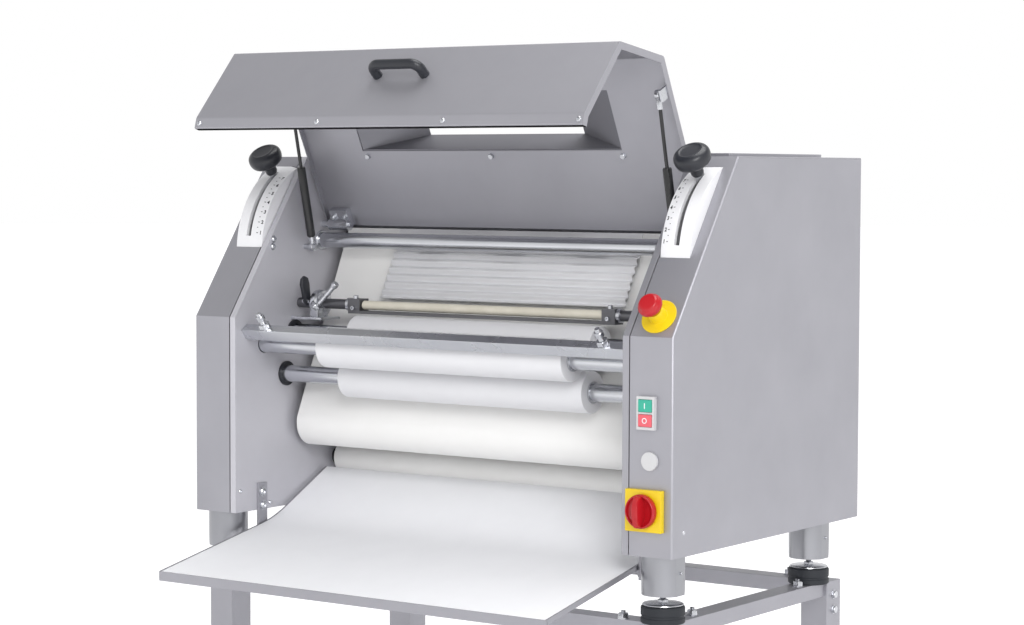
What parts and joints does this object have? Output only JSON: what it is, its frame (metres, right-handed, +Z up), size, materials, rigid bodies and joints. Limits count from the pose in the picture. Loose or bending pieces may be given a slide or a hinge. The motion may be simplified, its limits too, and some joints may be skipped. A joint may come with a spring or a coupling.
{
  "type": "dough sheeter",
  "caption": "Bakery dough sheeter and moulder: white rollers and felt belts between two housings under a hinged feed hood, with a delivery tray, on an open stand.",
  "frame": {"origin": "centre of the bounding box at floor level", "axes": "+X to the right seen from the operator, +Y to the back, +Z up"},
  "size_m": [0.986, 0.82, 1.5496],
  "materials": {
    "stainless": "bead-blasted",
    "polished_steel": "polished",
    "bright_steel": "satin",
    "dark_steel": "satin",
    "roller_plastic": "satin",
    "scale_plastic": "satin",
    "cream_plastic": "matte",
    "tray_plastic": "matte",
    "felt": "woven wool",
    "black_plastic": "satin",
    "black_paint": "satin",
    "rubber": "matte",
    "foot_aluminium": "turned",
    "motor_paint": "satin",
    "yellow_plastic": "satin",
    "red_plastic": "glossy",
    "off_plastic": "glossy",
    "green_plastic": "glossy",
    "grey_plastic": "satin"
  },
  "bodies": {
    "head": {"left_side_plate": "stainless", "right_side_plate": "stainless", "left_cover": "stainless", "right_cover": "stainless", "top_cover": "stainless", "rear_cover": "stainless", "tie_bars": "stainless", "cross_tube": "polished_steel", "plate_pins": "polished_steel", "shaft_bushes": "black_plastic", "blade_bar": "bright_steel", "blade_bar_studs": "polished_steel", "guide_bar": "dark_steel", "lock_bracket": "bright_steel", "curling_belt": "felt", "delivery_belt": "felt", "corrugated_board": "roller_plastic", "gear_motor": "motor_paint", "drive_chain": "dark_steel", "scale_blocks": "scale_plastic", "yellow_plates": "yellow_plastic", "panel_fittings": "grey_plastic", "tray_brackets": "stainless", "head_feet": "foot_aluminium", "rubber_pads": "rubber", "stand_frame": "stainless", "stand_feet": "black_plastic"},
    "hood": {"hood_shell": "stainless", "feed_hopper": "stainless", "hood_handle": "black_plastic", "hood_brackets": "bright_steel"},
    "left_cylinder": {"left_gas_cylinder": "black_paint"},
    "right_cylinder": {"right_gas_cylinder": "black_paint"},
    "left_rod": {"left_gas_rod": "dark_steel"},
    "right_rod": {"right_gas_rod": "dark_steel"},
    "left_lever": {"left_lever": "bright_steel", "left_knob": "black_plastic"},
    "right_lever": {"right_lever": "bright_steel", "right_knob": "black_plastic"},
    "pressure_board": {"pressure_board": "roller_plastic"},
    "front_carriage": {"front_roller_blocks": "bright_steel"},
    "front_roller": {"front_roller": "roller_plastic", "front_roller_shaft": "polished_steel"},
    "lower_roller": {"lower_roller": "roller_plastic", "lower_roller_shaft": "polished_steel"},
    "rear_roller": {"rear_roller": "roller_plastic", "rear_roller_shaft": "polished_steel"},
    "guide_roller": {"guide_roller": "cream_plastic"},
    "lock_lever": {"lock_lever": "black_plastic"},
    "belt_roller": {"belt_roller": "bright_steel"},
    "upper_idler": {"upper_idler": "bright_steel"},
    "delivery_roller": {"delivery_roller": "bright_steel"},
    "rear_idler": {"rear_idler": "bright_steel"},
    "motor_sprocket": {"motor_sprocket": "bright_steel"},
    "stop_button": {"stop_mushroom": "red_plastic"},
    "start_button": {"start_button": "green_plastic"},
    "off_button": {"off_button": "off_plastic"},
    "switch_knob": {"switch_knob": "red_plastic"},
    "tray": {"tray": "tray_plastic", "tray_frame": "stainless"}
  },
  "joints": [
    {"name": "hood_hinge", "type": "hinge", "parent": "head", "child": "hood", "pos_m": [0, 0.031, 1.252], "axis": [1, 0, 0], "range_deg": [0, 60], "stiffness_Nm_per_rad": 14, "springref_deg": -108.86},
    {"name": "left_spring_hinge", "type": "hinge", "parent": "head", "child": "left_cylinder", "pos_m": [-0.382, -0.02, 1.212], "axis": [1, 0, 0], "range_deg": [0, 61.5]},
    {"name": "left_spring_slide", "type": "slide", "parent": "left_cylinder", "child": "left_rod", "axis": [0, -0.2257, 0.9742], "range_m": [-0.07, 0]},
    {"name": "right_spring_hinge", "type": "hinge", "parent": "head", "child": "right_cylinder", "pos_m": [0.382, -0.02, 1.212], "axis": [1, 0, 0], "range_deg": [0, 61.5]},
    {"name": "right_spring_slide", "type": "slide", "parent": "right_cylinder", "child": "right_rod", "axis": [0, -0.2257, 0.9742], "range_m": [-0.07, 0]},
    {"name": "left_lever_hinge", "type": "hinge", "parent": "head", "child": "left_lever", "pos_m": [-0.444, 0.039, 1.204], "axis": [1, 0, 0], "range_deg": [0, 41]},
    {"name": "right_lever_hinge", "type": "hinge", "parent": "head", "child": "right_lever", "pos_m": [0.444, 0.039, 1.204], "axis": [1, 0, 0], "range_deg": [0, 41]},
    {"name": "pressure_board_slide", "type": "slide", "parent": "head", "child": "pressure_board", "axis": [0, 0, -1], "range_m": [0, 0.006]},
    {"name": "front_gap_slide", "type": "slide", "parent": "head", "child": "front_carriage", "axis": [0, 0.9797, 0.2007], "range_m": [0, 0.01]},
    {"name": "front_roller_spin", "type": "hinge", "parent": "front_carriage", "child": "front_roller", "pos_m": [0, -0.133, 1.043], "axis": [1, 0, 0], "continuous": true},
    {"name": "rear_roller_spin", "type": "hinge", "parent": "head", "child": "rear_roller", "pos_m": [0, -0.05, 1.06], "axis": [1, 0, 0], "continuous": true},
    {"name": "lower_roller_spin", "type": "hinge", "parent": "head", "child": "lower_roller", "pos_m": [0, -0.073, 0.987], "axis": [1, 0, 0], "continuous": true},
    {"name": "guide_roller_spin", "type": "hinge", "parent": "head", "child": "guide_roller", "pos_m": [0, -0.035, 1.112], "axis": [1, 0, 0], "continuous": true},
    {"name": "lock_lever_hinge", "type": "hinge", "parent": "head", "child": "lock_lever", "pos_m": [-0.368, -0.054, 1.116], "axis": [1, 0, 0], "range_deg": [0, 90]},
    {"name": "belt_roller_spin", "type": "hinge", "parent": "head", "child": "belt_roller", "pos_m": [0, -0.02, 0.898], "axis": [1, 0, 0], "continuous": true},
    {"name": "motor_spin", "type": "hinge", "parent": "head", "child": "motor_sprocket", "pos_m": [0, 0.29, 0.98], "axis": [1, 0, 0], "continuous": true},
    {"name": "upper_idler_spin", "type": "hinge", "parent": "head", "child": "upper_idler", "pos_m": [0, 0.112, 1.228], "axis": [1, 0, 0], "continuous": true},
    {"name": "delivery_roller_spin", "type": "hinge", "parent": "head", "child": "delivery_roller", "pos_m": [0, 0.072, 0.826], "axis": [1, 0, 0], "continuous": true},
    {"name": "rear_idler_spin", "type": "hinge", "parent": "head", "child": "rear_idler", "pos_m": [0, 0.31, 0.826], "axis": [1, 0, 0], "continuous": true},
    {"name": "stop_press", "type": "slide", "parent": "head", "child": "stop_button", "axis": [0, 0.8192, -0.5735], "range_m": [0, 0.004], "stiffness_N_per_m": 800, "springref_m": -0.002},
    {"name": "start_press", "type": "slide", "parent": "head", "child": "start_button", "axis": [0, 1, 0], "range_m": [0, 0.003], "stiffness_N_per_m": 400, "springref_m": -0.002},
    {"name": "off_press", "type": "slide", "parent": "head", "child": "off_button", "axis": [0, 1, 0], "range_m": [0, 0.003], "stiffness_N_per_m": 400, "springref_m": -0.002},
    {"name": "switch_turn", "type": "hinge", "parent": "head", "child": "switch_knob", "pos_m": [0.445, -0.21, 0.823], "axis": [0, -1, 0], "range_deg": [0, 90]},
    {"name": "tray_lift", "type": "hinge", "parent": "head", "child": "tray", "pos_m": [0, -0.142, 0.714], "axis": [-1, 0, 0], "range_deg": [0, 15]}
  ],
  "couplings": [
    {"joint": "left_spring_hinge", "follows": "hood_hinge", "ratio": 1.02},
    {"joint": "right_spring_hinge", "follows": "hood_hinge", "ratio": 1.02},
    {"joint": "left_spring_slide", "follows": "hood_hinge", "m_per_rad": -0.0656},
    {"joint": "right_spring_slide", "follows": "hood_hinge", "m_per_rad": -0.0656},
    {"joint": "pressure_board_slide", "follows": "left_lever_hinge", "m_per_rad": 0.0083},
    {"joint": "front_gap_slide", "follows": "right_lever_hinge", "m_per_rad": 0.0139},
    {"joint": "lower_roller_spin", "follows": "rear_roller_spin", "ratio": -1},
    {"joint": "motor_spin", "follows": "belt_roller_spin", "ratio": 1},
    {"joint": "upper_idler_spin", "follows": "belt_roller_spin", "ratio": 1.52},
    {"joint": "rear_idler_spin", "follows": "delivery_roller_spin", "ratio": 1}
  ]
}
